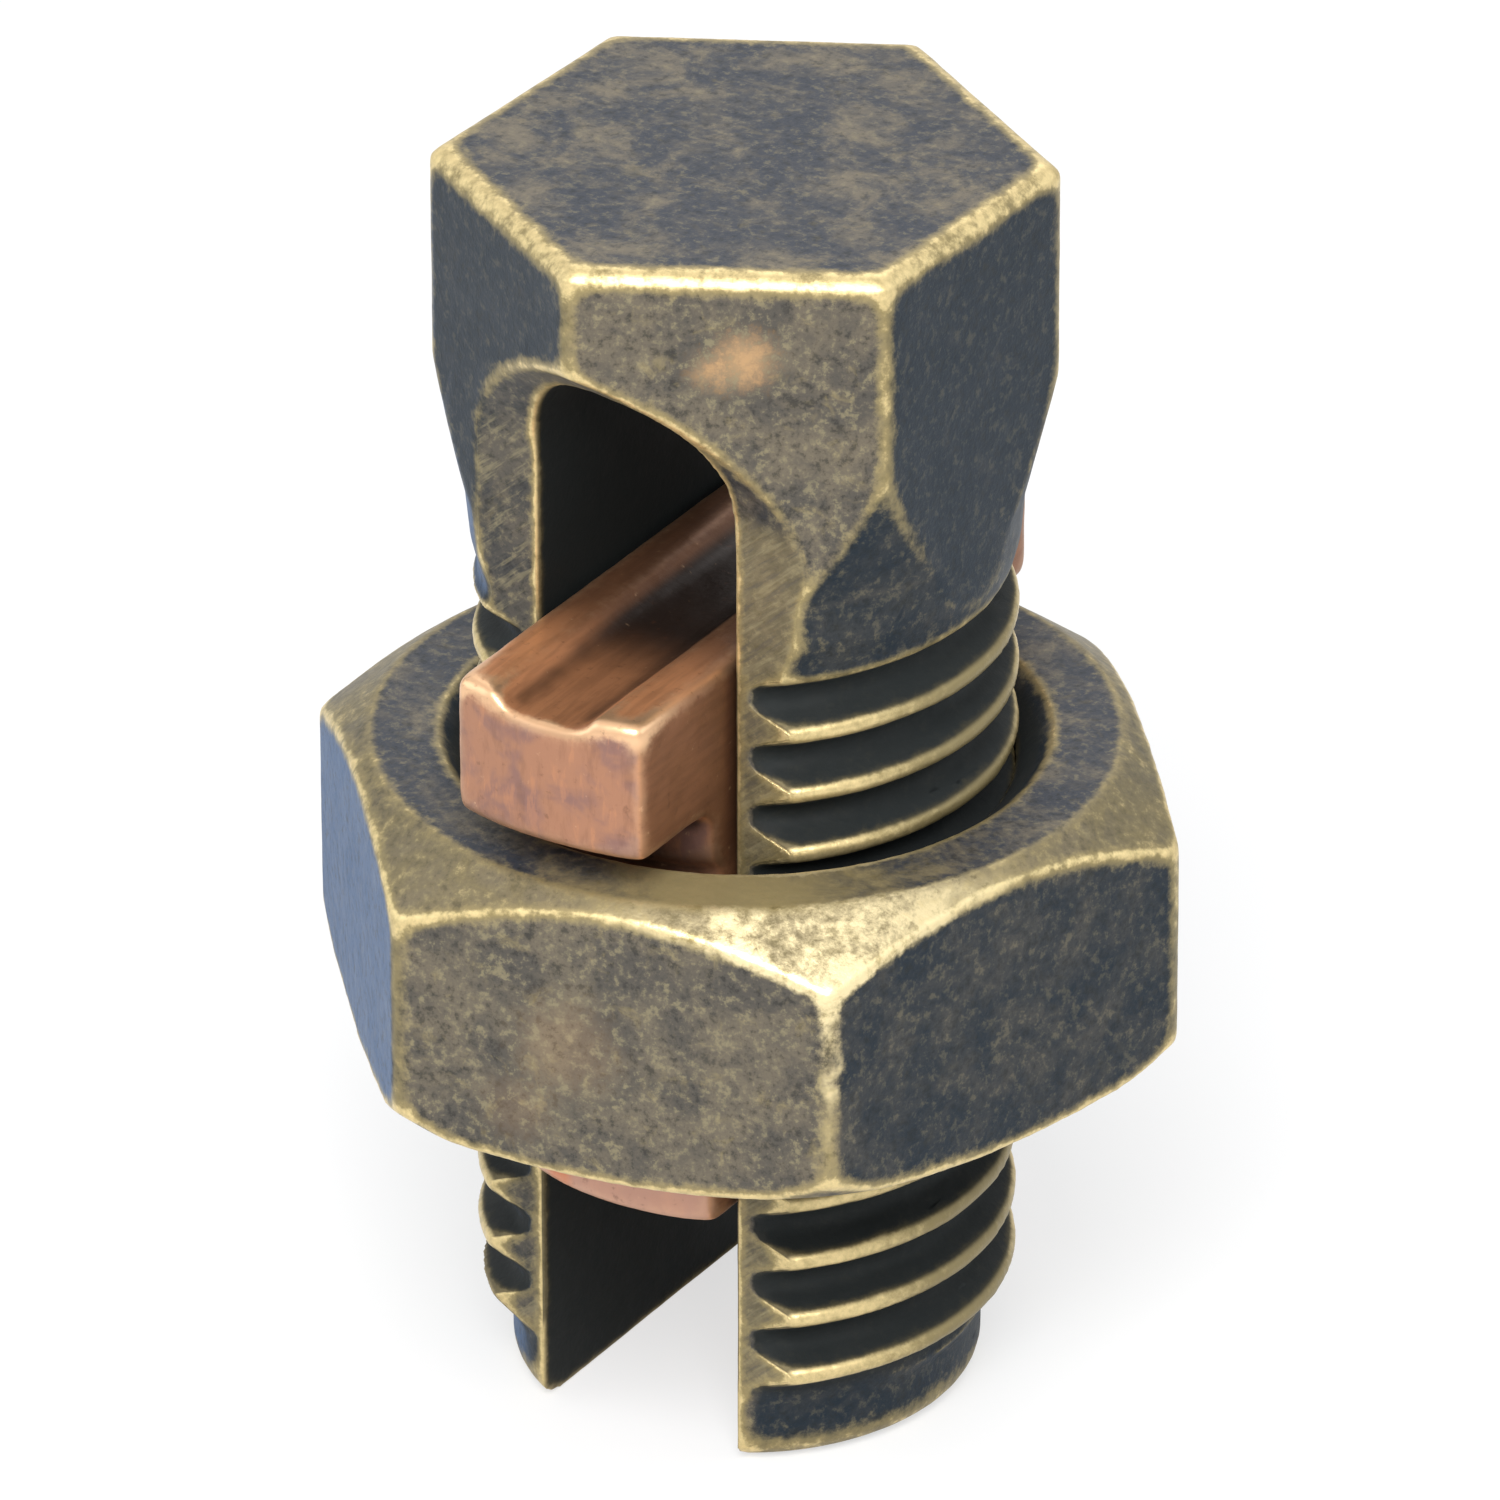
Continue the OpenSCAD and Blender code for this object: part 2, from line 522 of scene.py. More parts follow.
@dataclass(frozen=True, eq=False)
class Value:
    """An output of a shader node, with arithmetic that adds the nodes for it."""

    bench: Bench
    output: bpy.types.NodeSocket

    def __add__(self, other: Value | float) -> Value:
        """Add."""
        return self.bench.maths("ADD", self, other)

    __radd__ = __add__

    def __sub__(self, other: Value | float) -> Value:
        """Take away."""
        return self.bench.maths("SUBTRACT", self, other)

    def __rsub__(self, other: float) -> Value:
        """Be taken away from a number."""
        return self.bench.maths("SUBTRACT", other, self)

    def __mul__(self, other: Value | float) -> Value:
        """Multiply."""
        return self.bench.maths("MULTIPLY", self, other)

    __rmul__ = __mul__

    def __truediv__(self, other: Value | float) -> Value:
        """Divide."""
        return self.bench.maths("DIVIDE", self, other)

    def __pow__(self, other: float) -> Value:
        """Raise to a power."""
        return self.bench.maths("POWER", self, other)

    def __abs__(self) -> Value:
        """Take the size without the sign."""
        return self.bench.maths("ABSOLUTE", self)

    def step(self, low: float, high: float) -> Value:
        """Run smoothly from 0 at one level to 1 at another.

        Args:
            low: Level that gives 0.
            high: Level that gives 1, which may be the lower one.

        Returns:
            The smooth mask.
        """
        return self.bench.node("ShaderNodeMapRange",
                               {"interpolation_type": "SMOOTHSTEP", "clamp": True},
                               {"Value": self, "From Min": low, "From Max": high}, "Result")


class Bench:
    """Builds the nodes of one material or of the world."""

    def __init__(self, owner: bpy.types.Material | bpy.types.World) -> None:
        """Start a material or world with no nodes."""
        self.owner = owner
        owner.use_nodes = True
        self.tree = owner.node_tree
        self.tree.nodes.clear()

    def node(self, kind: str, settings: dict | None = None, inputs: dict | None = None,
             output: str | int = 0) -> Value:
        """Add any node.

        Args:
            kind: Type of the node.
            settings: Its own settings, which are set first.
            inputs: Values or links for its sockets, by name or number.
            output: The output that is wanted.

        Returns:
            That output.
        """
        made = self.tree.nodes.new(kind)
        for key, value in (settings or {}).items():
            setattr(made, key, value)
        for key, value in (inputs or {}).items():
            socket = made.inputs[key]
            if isinstance(value, Value):
                self.tree.links.new(value.output, socket)
            elif socket.type == "RGBA" and len(value) == 3:
                socket.default_value = (*value, 1.0)
            else:
                socket.default_value = value
        return Value(self, made.outputs[output] if made.outputs else made.inputs[0])

    def maths(self, operation: str, first: Value | float, second: Value | float = 0.0) -> Value:
        """Add one Math node."""
        return self.node("ShaderNodeMath", {"operation": operation}, {0: first, 1: second})

    def most(self, first: Value, second: Value | float) -> Value:
        """Take the larger of two values."""
        return self.maths("MAXIMUM", first, second)

    def mix(self, amount: Value | float, first: Value | Colour,
            second: Value | Colour) -> Value:
        """Mix two colours.

        Args:
            amount: Share of the second colour.
            first: First colour.
            second: Second colour.

        Returns:
            The mixed colour.
        """
        return self.node("ShaderNodeMix", {"data_type": "RGBA", "clamp_factor": True},
                         {0: amount, 6: first, 7: second}, 2)

    def coat(self, body: Value | Colour,
             *coats: tuple[Value | float, Value | Colour]) -> Value:
        """Lay coats of colour over one another.

        Args:
            body: The colour underneath.
            coats: Share and colour of each coat, the lowest first.

        Returns:
            The colour that is seen.
        """
        for amount, colour in coats:
            body = self.mix(amount, body, colour)
        return body

    def place(self) -> Value:
        """Give the point on the piece, in millimetres."""
        coords = self.node("ShaderNodeTexCoord", output="Object")
        return self.node("ShaderNodeVectorMath", {"operation": "SCALE"},
                         {0: coords, "Scale": 1.0 / MM})

    def axes(self, vector: Value) -> tuple[Value, Value, Value]:
        """Split a vector into its three numbers."""
        x, y, z = (self.node("ShaderNodeSeparateXYZ", None, {0: vector}, axis)
                   for axis in range(3))
        return x, y, z

    def stretched(self, vector: Value, stretch: Point,
                  turn: Point = (0.0, 0.0, 0.0)) -> Value:
        """Turn a pattern's coordinates and stretch them along their axes."""
        return self.node("ShaderNodeMapping", {"vector_type": "POINT"},
                         {0: vector, "Scale": stretch, "Rotation": turn})

    def cloud(self, vector: Value, scale: float, detail: float = 3.0, rough: float = 0.55,
              warp: float = 0.0) -> Value:
        """Give a soft noise between 0 and 1."""
        return self.node("ShaderNodeTexNoise", None,
                         {"Vector": vector, "Scale": scale, "Detail": detail, "Roughness": rough,
                          "Distortion": warp}, 0)

    def facing(self, direction: Point) -> Value:
        """Give how squarely the surface faces a fixed direction of the piece."""
        normal = self.node("ShaderNodeTexCoord", output="Normal")
        return self.node("ShaderNodeVectorMath", {"operation": "DOT_PRODUCT"},
                         {0: normal, 1: direction}, 1)

    def spot(self, place: Value, patch: Patch, ragged: Value) -> Value:
        """Give a ragged round patch.

        Args:
            place: The point on the piece.
            patch: The patch.
            ragged: Noise that roughens its border.

        Returns:
            Its strength in the middle, running to 0.
        """
        away = self.node("ShaderNodeVectorMath", {"operation": "DISTANCE"},
                         {0: place, 1: patch.centre}, 1)
        return (away / patch.radius + (ragged - 0.5) * 1.3).step(1.0, 0.25) * patch.strength

    def layer(self, name: str) -> Value:
        """Read a value stored on the mesh's points."""
        return self.node("ShaderNodeAttribute",
                         {"attribute_type": "GEOMETRY", "attribute_name": name},
                         output="Fac")

    def surface(self, colour: Value, rough: Value, metal: Value, height: Value, bump: float,
                gloss: float) -> bpy.types.Material:
        """Close the material with its main shader.

        Args:
            colour: Colour over the surface.
            rough: Roughness over the surface.
            metal: Share of uncoated metal.
            height: Height of the fine relief, in millimetres.
            bump: Strength of that relief.
            gloss: Level of the mirror-like part.

        Returns:
            The material.
        """
        tilt = self.node("ShaderNodeBump", None,
                         {"Height": height, "Strength": bump, "Distance": MM})
        shader = self.node("ShaderNodeBsdfPrincipled", None,
                           {"Base Color": colour, "Roughness": rough, "Metallic": metal,
                            "Normal": tilt, "Specular IOR Level": gloss})
        self.node("ShaderNodeOutputMaterial", None, {"Surface": shader})
        return self.owner


# ---- finishes


@dataclass(frozen=True)
class PatinaFinish:
    """Bronze that has darkened all over and is rubbed bright along its edges; its colours also
    hold painted reflections, painted shade and painted highlights.
    """

    name: str
    brown: Colour = srgb(100, 92, 78)
    umber: Colour = srgb(76, 72, 66)
    # dusk: painted reflection of dark surroundings, laid on upward faces
    dusk: Colour = srgb(44, 50, 61)
    # slate: painted reflection on faces turned across the view, and the colour of painted shade
    slate: Colour = srgb(12, 28, 40)
    # blue: painted reflection on faces turned to the left
    blue: Colour = srgb(50, 82, 120)
    gold: Colour = srgb(154, 138, 94)
    olive: Colour = srgb(140, 130, 100)
    cream: Colour = srgb(222, 200, 146)
    tan: Colour = srgb(182, 146, 104)
    # near-white colour of a painted highlight
    glint_colour: Colour = srgb(236, 218, 172)
    # dark colour for settled dirt and for painted shade
    soot_and_shade: Colour = srgb(20, 24, 23)
    # direction across the view; faces turned along it get a painted reflection
    side: Point = (0.848, 0.530, 0.0)
    edge_gain: float = 9.0
    gloss: float = 0.28
    relief: float = 0.7
    patches: tuple[Patch, ...] = ()
    # painted highlight on the worn edges at the nut's front
    shine: Patch | None = None
    # painted highlight: gold pool on upward faces
    glow: Patch | None = None


class PatinaBench(Bench):
    """A bench on which one piece gets its patina."""

    def __init__(self, look: PatinaFinish) -> None:
        """Start the material and its noises from the piece's finish."""
        super().__init__(bpy.data.materials.new(look.name))
        self.look = look
        self.here = self.place()
        self.fine = self.cloud(self.here, 2.6, detail=5.0, rough=0.72)
        self.broad = self.cloud(self.here, 0.5, detail=5.0, rough=0.68, warp=0.4)
        self.edge = self.layer("edge") * look.edge_gain

    def base(self, shade: Value | None = None) -> Value:
        """Give the darkened colour, with painted reflections on its top, side and left faces and
        blue-black painted shade where shade is given.
        """
        look, fine, broad = self.look, self.fine, self.broad
        blots = self.cloud(self.here, 1.1, detail=4.0, rough=0.7, warp=0.6)
        up = self.facing(UP).step(0.75, 0.98)
        # faces turned across the view get slate as a painted reflection
        side = self.facing(look.side)
        aside = (abs(side) + (broad - 0.5) * 0.3).step(0.36, 0.74)
        # given shade turns the surface blue-black: painted shade
        if shade is not None:
            aside = self.most(aside, shade * (0.92 + (broad - 0.5) * 0.5))
        fleck = (0.6 - aside * 0.46) * (1.0 - up * 0.45)
        grazed = (self.edge + (fine - 0.5) * 0.9 + (blots - 0.5) * 0.5).step(0.24, 0.70)
        body = self.coat(
            look.brown,
            (broad.step(0.40, 0.62), look.umber),
            # painted reflection on upward faces
            (up * broad.step(0.30, 0.58) * 0.9, look.dusk),
            (aside, look.slate),
            # painted reflection on faces turned to the left
            ((side * -1.0).step(0.90, 0.99), look.blue),
            (fine.step(0.51, 0.66) * fleck, look.olive),
            (fine.step(0.49, 0.34) * 0.6, look.soot_and_shade),
            (blots.step(0.54, 0.74) * fleck * (0.55 - aside * 0.4), look.gold),
            (blots.step(0.47, 0.34) * 0.45 * (1.0 - aside * 0.7), look.umber),
            (grazed * 0.4, look.gold))
        # painted highlight: gold on upward faces inside the glow patch
        if look.glow is not None:
            body = self.mix(self.spot(self.here, look.glow, broad) * up, body, look.gold)
        return self.coat(body, *((self.spot(self.here, patch, fine), look.tan)
                                 for patch in look.patches))

    def wear(self) -> Value:
        """Give how far the edges are rubbed bright."""
        lumps = self.cloud(self.here, 1.5, rough=0.6)
        return (self.edge + (self.fine - 0.5) * 0.45 + (lumps - 0.5) * 0.8
                + (self.broad - 0.5) * 0.4).step(0.38, 1.04)

    def settled(self) -> Value:
        """Give where sooty dirt has settled in the hollows."""
        return self.layer("hollow").step(0.02, 0.08) * 0.8

    def dress(self, body: Value, wear: Value, dark: Value,
              extra: Value | float = 0.0) -> bpy.types.Material:
        """Put the layers together.

        Args:
            body: Colour of the darkened surface.
            wear: Where it is rubbed bright, with painted highlights added.
            dark: Where sooty dirt has gathered, and where shade is painted.
            extra: Further relief, in millimetres.

        Returns:
            The finished material.
        """
        look, fine, broad = self.look, self.fine, self.broad
        bright = self.mix((fine * 0.6 + wear * 0.5).step(0.56, 0.92), look.gold, look.cream)
        # painted highlight: wear inside the shine patch is raised and turned near white
        if look.shine is not None:
            lit = self.spot(self.here, look.shine, fine)
            bright = self.mix(lit * (fine + broad).step(0.74, 1.16), bright, look.glint_colour)
            wear = self.maths("MINIMUM", wear * (1.0 + lit * 1.1), 1.0)
        # dark holds sooty dirt from the hollows and the painted shade that is given
        colour = self.coat(body, (dark, look.soot_and_shade),
                           (wear * (1.0 - dark * 0.85) * 0.92, bright))
        rough = 0.5 + (broad - 0.5) * 0.25 - wear * 0.12 + dark * 0.25
        metal = 0.22 + wear * 0.45 - dark * 0.2
        height = self.cloud(self.here, 7.0, rough=0.6) * 0.012 + fine * 0.03 + extra
        return self.surface(colour, rough, metal, height, look.relief, look.gloss)


@dataclass(frozen=True)
class CopperFinish:
    """Drawn copper, pink where it was sheared and brown where it has darkened, with painted shade
    on its sides, in its groove and inside the slot, and painted highlights on its top edges.
    """

    name: str = "copper_bar"
    bright: Colour = srgb(204, 140, 96)
    rose: Colour = srgb(196, 150, 128)
    orange: Colour = srgb(196, 110, 66)
    pink: Colour = srgb(160, 114, 88)
    brown: Colour = srgb(92, 60, 42)
    mauve: Colour = srgb(128, 96, 90)
    cream: Colour = srgb(232, 190, 148)
    # dark colour for dirt in hollows and for painted shade inside the slot
    soot_and_shade: Colour = srgb(34, 26, 22)
    gloss: float = 0.5
    relief: float = 0.6

    def material(self, groove: float, top: float) -> bpy.types.Material:
        """Make the material.

        Args:
            groove: Half width of the groove along the top.
            top: Height of the ridges beside it.

        Returns:
            The material.
        """
        bench = Bench(bpy.data.materials.new(self.name))
        place = bench.place()
        across, along, up = bench.axes(place)
        fine = bench.cloud(place, 3.0, detail=4.0, rough=0.6)
        broad = bench.cloud(place, 0.6, rough=0.6, warp=0.4)
        drawn = bench.cloud(bench.stretched(place, (1.0, 0.12, 1.0)), 4.0, rough=0.5)
        sheared = bench.cloud(bench.stretched(place, (1.6, 1.0, 0.35)), 1.6,
                              detail=4.0, rough=0.65)
        end = abs(bench.facing(ALONG)).step(0.5, 0.9)
        flank = abs(bench.facing(ACROSS)).step(0.6, 0.95)
        foot = up.step(14.0, 12.6)
        crease = abs(across + 1.9).step(0.7, 0.2) * foot * end
        # the groove's floor and walls, darkened below as painted shade
        trough = (abs(across).step(groove + 0.15, groove - 0.25)
                  * up.step(top - 0.9, top - 0.7) * up.step(top - 0.12, top - 0.3))
        dark = bench.layer("hollow").step(0.012, 0.05)
        # the bar is darkened brown and near black inside the slot, the groove most: painted shade
        slot_shade = abs(along).step(8.2, 4.2) * up.step(20.0, 22.0)
        # cream edge lines, strongest on the top edges outside the slot: wear and painted highlight
        high = up.step(top - 1.1, top - 0.5) * abs(along).step(8.0, 10.8)
        rub_and_highlight = ((bench.layer("edge") * 12.0 + (fine - 0.5) * 0.9).step(0.30, 0.95)
               * (0.18 + high * 0.82))
        body = bench.coat(
            self.bright,
            (drawn.step(0.4, 0.65), bench.mix(0.25, self.bright, self.brown)),
            (end, self.pink),
            (end * broad.step(0.42, 0.64) * 0.8, self.mauve),
            (end * sheared.step(0.52, 0.66) * 0.2, self.brown),
            (end * sheared.step(0.46, 0.34) * 0.25, self.bright),
            (foot * end * 0.75, self.rose),
            (crease * 0.7, self.orange),
            # side faces darkened brown: painted shade
            (flank * 0.72, self.brown),
            # groove darkened: painted shade
            (trough * 0.35, self.brown),
            (dark * 0.6, self.soot_and_shade),
            # painted shade inside the slot
            (slot_shade * 0.62, self.brown),
            (slot_shade * (0.45 + trough * 0.5), self.soot_and_shade),
            (rub_and_highlight * 0.85, self.cream),
            (fine.step(0.66, 0.8) * 0.35, self.cream),
            (fine.step(0.40, 0.26) * 0.4, self.brown))
        rough = 0.42 + (broad - 0.5) * 0.2 - rub_and_highlight * 0.08
        metal = 0.55 + rub_and_highlight * 0.3
        height = fine * 0.02 + drawn * 0.012
        return bench.surface(body, rough, metal, height, self.relief, self.gloss)


# ---- pieces


@dataclass(frozen=True)
class Thread:
    """A right-hand screw thread with flat crests, in millimetres."""

    pitch: float = 2.0
    outer: float = 8.25
    root: float = 7.3
    crest_flat: float = 0.4
    slope: float = math.tan(math.radians(30.0))
    angle: float = -47.9
    height: float = 21.5
    play: float = 0.14
    bore: float = 7.45
    bore_root: float = 8.4

    def groove(self, outside: float) -> Outline:
        """Give the section cut out of the bolt, up to a radius outside it."""
        half = self.pitch / 2.0 - self.crest_flat / 2.0 - (self.outer - self.root) * self.slope
        wide = half + (outside - self.root) * self.slope
        return [(self.root, -half), (outside, -wide), (outside, wide), (self.root, half)]

    def nut_groove(self, inside: float) -> Outline:
        """Give the section cut out of the nut, from a radius inside its bore."""
        def half(radius: float) -> float:
            """Half width of the bolt's ridge with the play added."""
            return self.crest_flat / 2.0 + (self.outer - radius) * self.slope + self.play

        return [(inside, -half(inside)), (self.bore_root, -half(self.bore_root)),
                (self.bore_root, half(self.bore_root)), (inside, half(inside))]


@dataclass
class SplitBolt:
    """The slotted bolt: hexagonal head, neck, and two threaded legs."""

    height: float = 40.8
    head_across: float = 16.4
    cone_top: float = 34.3
    cone_foot: float = 29.9
    cone_foot_radius: float = 8.4
    head_bevel: float = 0.38
    head_turn: float = -92.0
    neck: float = 8.05
    neck_low: float = 27.2
    end_radius: float = 7.2
    end_height: float = 2.2
    end_round: float = 0.9
    slot: float = 3.4
    arch: float = 32.9
    flat: float = 6.15
    runout: float = 31.5
    runout_radius: float = 6.6
    runout_lean: float = 7.0
    groove_turns: int = 13
    groove_outside: float = 8.5
    fade_turns: float = 0.6
    fade_lift: float = 1.4
    thread: Thread = field(default_factory=Thread)

    def _blank(self) -> Workpiece:
        """Turn the shank, with its rounded end and neck."""
        soft = self.end_round
        arc = [(self.end_radius - soft + soft * math.sin(a), soft - soft * math.cos(a))
               for a in (math.radians(15.0 * k) for k in range(7))]
        outer = self.thread.outer
        return Workpiece.turned("split_bolt_dressed", [
            (0.0, 0.0), *arc,
            (self.end_radius, self.end_height),
            (outer, self.end_height + outer - self.end_radius),
            (outer, self.neck_low - (outer - self.neck) * 2.0),
            (self.neck, self.neck_low),
            (self.neck, self.neck_low + 0.9),
            (0.0, self.neck_low + 0.9)])

    def _head(self) -> Workpiece:
        """Make the head and the cone under it."""
        low = self.neck_low + 0.4
        corner = self.head_across / 2.0 / FLAT_PER_CORNER
        head = Workpiece.prism("head", self.head_across, low, self.height - self.head_bevel,
                               self.head_turn, corner=0.32)
        head.keep(Workpiece.turned("cone", [
            (0.0, low), (self.neck, low), (self.cone_foot_radius - 0.12, self.cone_foot - 1.4),
            (self.cone_foot_radius, self.cone_foot), (corner, self.cone_top),
            (corner + 1.0, self.height), (0.0, self.height)]))
        overlap = 0.001
        cap = Workpiece.prism("cap", self.head_across, self.height - self.head_bevel - overlap,
                              self.height, self.head_turn,
                              shrink=self.head_bevel / FLAT_PER_CORNER)
        return head.join(cap)

    def _relief(self, half_turn: bool) -> Workpiece:
        """Make the cutter of one mouth's flat, with its round run-out."""
        place = (Matrix.Rotation(math.pi if half_turn else 0.0, 4, "Z")
                 @ Matrix.Translation((0.0, -self.flat, self.runout))
                 @ Matrix.Rotation(math.radians(self.runout_lean), 4, "Y"))
        beyond = 15.0
        cutter = Workpiece.block("flat", (-beyond, -beyond, -40.0), (beyond, 0.0, 0.0), place)
        wheel = Workpiece.rod("wheel", self.runout_radius, 2.0 * beyond,
                              place @ Matrix.Translation((0, -self.runout_radius, 0))
                              @ Matrix.Rotation(QUARTER_TURN, 4, "Y"))
        return cutter.join(wheel)

    def build(self) -> bpy.types.Object:
        """Shape the bolt and give the finished object."""
        bolt = self._blank()
        bolt.join(self._head())
        cut = self.thread
        start = cut.height + (2.5 - self.groove_turns) * cut.pitch
        bolt.remove(Workpiece.helix("groove", cut.groove(self.groove_outside), cut.pitch,
                                    cut.angle, start, self.groove_turns + 0.12,
                                    fade=self.fade_turns, lift=self.fade_lift))
        bolt.remove(Workpiece.block("slot", (-self.slot, -PASS_THROUGH, -1.0),
                                    (self.slot, PASS_THROUGH, self.arch)))
        bolt.remove(Workpiece.rod("arch", self.slot, 2.0 * PASS_THROUGH,
                                  Matrix.Translation((0, 0, self.arch))
                                  @ Matrix.Rotation(QUARTER_TURN, 4, "X")))
        bolt.remove(self._relief(False))
        bolt.remove(self._relief(True))
        return bolt.finish(Skin(seed=3.1))

    def dress(self, look: PatinaFinish) -> bpy.types.Material:
        """Make the bolt's patina from its finish."""
        bench = PatinaBench(look)
        x, y, z = bench.axes(bench.here)
        radius = (x * x + y * y) ** 0.5
        mouth = abs(bench.facing(ALONG))
        # painted shade on downward faces and below the cone's foot, in full between the flats'
        # planes and a quarter outside them
        under = bench.most(bench.facing(DOWN).step(0.08, 0.2),
                           z.step(self.cone_foot + 0.9, self.cone_foot - 0.2))
        flank = abs(y).step(self.flat - 0.02, self.flat - 0.25)
        body = bench.base(under * bench.most(flank, 0.25))
        threaded = (z.step(self.neck_low + 0.4, self.neck_low - 0.4)
                    * z.step(self.end_height, self.end_height + 0.8))
        # the thread below its crests is darkened: painted shade
        valley_shade = (radius.step(self.thread.outer - 0.07, self.thread.outer - 0.24)
                  * threaded * mouth.step(0.97, 0.9))
        # the slot's walls and arch are darkened: painted shade
        above = bench.most(z - self.arch, 0.0)
        inside = ((x * x + above * above) ** 0.5).step(self.slot + 0.14, self.slot + 0.02)
        dark = bench.most(bench.most(valley_shade * 0.92, inside), bench.settled())
        flat = mouth.step(0.96, 0.99) * abs(y).step(self.flat + 0.3, self.flat + 0.1)
        turned = bench.stretched(bench.here, (1.0, 1.0, 1.0), (0.0, -0.85, 0.0))
        lines = bench.cloud(bench.stretched(turned, (5.0, 1.0, 0.6)), 1.2, rough=0.6)
        body = bench.coat(
            body,
            (flat * x.step(2.5, 3.4) * y.step(0.0, -1.0) * 0.28, look.gold),
            (flat * lines.step(0.50, 0.68) * 0.42, look.olive),
            (flat * lines.step(0.48, 0.34) * 0.5, look.umber))
        wear = bench.wear() * (1.0 - threaded * abs(y).step(5.0, 1.0) * 0.5)
        return bench.dress(body, wear, dark, lines * flat * 0.05)


@dataclass
class HexNut:
    """The nut: chamfered hexagon with a countersunk, threaded bore."""

    across: float = 24.0
    low: float = 11.9
    thick: float = 9.7
    top_radius: float = 11.4
    low_radius: float = 11.4
    top_chamfer: float = 1.85
    low_chamfer: float = 1.45
    sink: float = 9.2
    turn: float = -47.6
    groove_turns: float = 7.0
    groove_inside: float = 7.1
    thread: Thread = field(default_factory=Thread)

    def build(self) -> bpy.types.Object:
        """Shape the nut and give the finished object."""
        high = self.low + self.thick
        corner = self.across / 2.0 / FLAT_PER_CORNER
        nut = Workpiece.prism("hex_nut_dressed", self.across, self.low, high, self.turn,
                              corner=0.4)
        nut.keep(Workpiece.turned("chamfers", [
            (0.0, self.low), (self.low_radius, self.low),
            (self.low_radius + (corner - self.low_radius) * 0.62,
             self.low + self.low_chamfer * 0.42),
            (corner, self.low + self.low_chamfer), (corner, high - self.top_chamfer),
            (self.top_radius, high), (0.0, high)]))
        cut = self.thread
        depth = self.sink - cut.bore
        nut.remove(Workpiece.turned("bore", [
            (0.0, self.low - 1.0), (self.sink + 1.0, self.low - 1.0),
            (cut.bore, self.low + depth), (cut.bore, high - depth),
            (self.sink + 1.0, high + 1.0), (0.0, high + 1.0)]))
        start = cut.height - 6.0 * cut.pitch
        nut.remove(Workpiece.helix("bore_groove", cut.nut_groove(self.groove_inside),
                                   cut.pitch, cut.angle, start, self.groove_turns))
        return nut.finish(Skin(seed=8.4))

    def dress(self, look: PatinaFinish) -> bpy.types.Material:
        """Make the nut's patina from its finish."""
        bench = PatinaBench(look)
        x, y, z = bench.axes(bench.here)
        radius = (x * x + y * y) ** 0.5
        high = self.low + self.thick
        # bright band on the upward-facing top chamfer: painted highlight, laid in with the wear
        chamfer_highlight = (radius.step(self.top_radius - 0.3, self.top_radius + 0.2)
               * z.step(high - 2.4, high - 1.2) * bench.facing(UP).step(0.4, 0.6)
               * ((bench.fine * 0.6 + bench.broad * 1.3).step(0.70, 1.40) * 0.6 + 0.2))
        # the countersink and bore are darkened: painted shade
        dark = bench.most(radius.step(self.sink - 0.1, self.sink - 0.5) * 0.9,
                          bench.settled())
        return bench.dress(bench.base(), bench.most(bench.wear(), chamfer_highlight), dark)


@dataclass
class PressureBar:
    """The copper bar that the nut presses on the wires."""

    half_width: float = 3.3
    ear_radius: float = 11.5
    ridge: float = 27.45
    ear_low: float = 22.75
    groove: float = 1.55
    groove_depth: float = 0.55
    shoulder: float = 7.7
    tail: float = 7.15
    foot: float = 7.95
    foot_low: float = 8.62
    foot_top: float = 12.85
    shoulder_z: float = 21.1
    ear_round: float = 0.9

    def _section(self) -> Outline:
        """Give the section of the ears, as X and Z."""
        w, g, r = self.half_width, self.groove, self.ear_round
        top, floor = self.ridge, self.ridge - self.groove_depth
        return [(-w, top - 0.2), (-w + 0.2, top), (-g - 0.3, top), (-g + 0.15, floor + 0.12),
                (-g + 0.45, floor), (g - 0.45, floor), (g - 0.15, floor + 0.12), (g + 0.1, top),
                (w - 0.2, top), (w, top - 0.2), (w, self.ear_low + r),
                (w - r * 0.3, self.ear_low + r * 0.3), (w - r, self.ear_low),
                (-w + r * 1.7, self.ear_low), (-w + r * 0.5, self.ear_low + r * 0.5),
                (-w, self.ear_low + r * 1.7)]

    def build(self) -> bpy.types.Object:
        """Shape the bar and give the finished object."""
        w = self.half_width
        bar = Workpiece.drawn("pressure_bar_dressed", self._section(), PASS_THROUGH)
        bar.join(Workpiece.block("tail", (-w, -PASS_THROUGH, self.foot_low),
                                 (w, PASS_THROUGH, self.ear_low + 1.5)))
        lip = 0.35
        bar.keep(Workpiece.turned("ends", [
            (0.0, self.foot_low), (self.foot - lip, self.foot_low),
            (self.foot, self.foot_low + lip), (self.foot, self.foot_top),
            (self.tail, self.foot_top + self.foot - self.tail),
            (self.tail, self.shoulder_z - self.shoulder + self.tail),
            (self.shoulder, self.shoulder_z), (self.shoulder, self.ear_low - lip),
            (self.shoulder + lip, self.ear_low), (self.ear_radius - 0.25, self.ear_low),
            (self.ear_radius, self.ear_low + lip), (self.ear_radius, self.ridge - 0.2),
            (self.ear_radius - 0.2, self.ridge), (0.0, self.ridge)]))
        return bar.finish(Skin(grain=0.12, soften=26, seed=5.7, chip_depth=0.025))

    def dress(self, look: CopperFinish) -> bpy.types.Material:
        """Make the bar's copper from its finish."""
        return look.material(self.groove, self.ridge)


# ---- studio


@dataclass(frozen=True)
class Lamp:
    """One soft rectangular lamp, aimed at the middle of the bolt."""

    name: str
    azimuth: float
    elevation: float
    distance: float
    size: float
    power: float
    colour: Colour = WHITE


